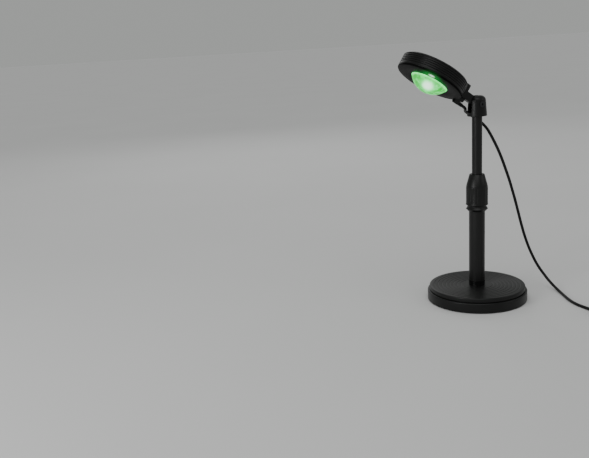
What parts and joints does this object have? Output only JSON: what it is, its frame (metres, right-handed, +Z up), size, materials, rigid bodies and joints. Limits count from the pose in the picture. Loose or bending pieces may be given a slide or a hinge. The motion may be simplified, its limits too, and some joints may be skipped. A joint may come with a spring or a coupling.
{
  "type": "sunset projection lamp",
  "caption": "Disc-shaped projection lamp head with a domed lens on a telescopic stand with a round weighted base, lock nut, tilt hinge and a thin charger cable.",
  "frame": {"origin": "centre of the round base's underside, on the surface that the lamp stands on", "axes": "+Z up along the pole; the head reaches towards -X; +Y is the tilt axis, and the cable runs to the table at +X"},
  "size_m": [0.2281, 0.2522, 0.3039],
  "materials": {
    "black_plastic": "moulded black plastic with a fine satin texture",
    "gloss_socket": "glossy black plastic",
    "black_tube": "satin black paint on a drawn tube",
    "black_aluminium": "fine matt black anodised aluminium with turned grooves",
    "iron_weight": "rough grey cast iron",
    "rubber_pad": "matt foam rubber",
    "steel_screws": "zinc plated",
    "dark_steel": "black oxide",
    "white_plastic": "natural nylon",
    "lens_glass": "polished glass, lit green from behind",
    "green_filter": "coated green filter glass",
    "white_board": "white solder mask",
    "led_phosphor": "yellow phosphor gel",
    "green_board": "green solder mask",
    "cable_jacket": "soft satin black cable jacket",
    "cable_tie": "soft black strap",
    "plug_steel": "nickel plated sheet",
    "brass_contacts": "gold flashed"
  },
  "bodies": {
    "base": {"base_shell": "black_plastic", "base_weight": "iron_weight", "base_plate": "black_plastic", "base_pad": "rubber_pad", "base_screws": "steel_screws", "stem_screw": "steel_screws", "stem_washer": "steel_screws", "foot_socket": "gloss_socket", "lower_tube": "black_tube", "collar_body": "black_plastic", "cable_drop": "cable_jacket", "cable_coil": "cable_jacket", "coil_tie": "cable_tie", "plug_grip": "black_plastic", "plug_shell": "plug_steel", "plug_tongue": "black_plastic", "plug_contacts": "brass_contacts"},
    "lock_nut": {"lock_nut": "black_plastic"},
    "slider": {"guide_bush": "white_plastic"},
    "mast": {"bush_retainer": "black_plastic", "bush_clip": "steel_screws", "upper_tube": "black_tube", "clevis_cap": "black_plastic", "hinge_bolt": "dark_steel", "hinge_nut": "dark_steel", "hinge_washers": "white_plastic", "cable_at_mast": "cable_jacket"},
    "head": {"head_bracket": "black_plastic", "bracket_screws": "dark_steel", "head_housing": "black_aluminium", "back_cover": "black_aluminium", "back_screws": "dark_steel", "front_bezel": "black_aluminium", "lens": "lens_glass", "lens_gasket": "rubber_pad", "lens_tube": "black_plastic", "colour_filter": "green_filter", "filter_ring": "black_plastic", "led_board": "white_board", "led_chip": "led_phosphor", "board_screws": "steel_screws", "driver_board": "green_board", "inner_wires": "cable_jacket", "cable_grommet": "cable_jacket", "cable_at_head": "cable_jacket"}
  },
  "joints": [
    {"name": "lock_nut_turn", "type": "hinge", "parent": "base", "child": "lock_nut", "pos_m": [0, 0, 0.137], "axis": [0, 0, 1], "range_deg": [0, 120]},
    {"name": "height_slide", "type": "slide", "parent": "base", "child": "slider", "axis": [0, 0, 1], "range_m": [-0.05, 0.018], "deforming": ["cable_drop"]},
    {"name": "mast_swivel", "type": "hinge", "parent": "slider", "child": "mast", "pos_m": [0, 0, 0.09], "axis": [0, 0, 1], "range_deg": [-90, 90], "deforming": ["cable_at_mast"]},
    {"name": "head_tilt", "type": "hinge", "parent": "mast", "child": "head", "pos_m": [0, 0, 0.239], "axis": [0, 1, 0], "range_deg": [-50, 56], "deforming": ["cable_at_head"]}
  ]
}
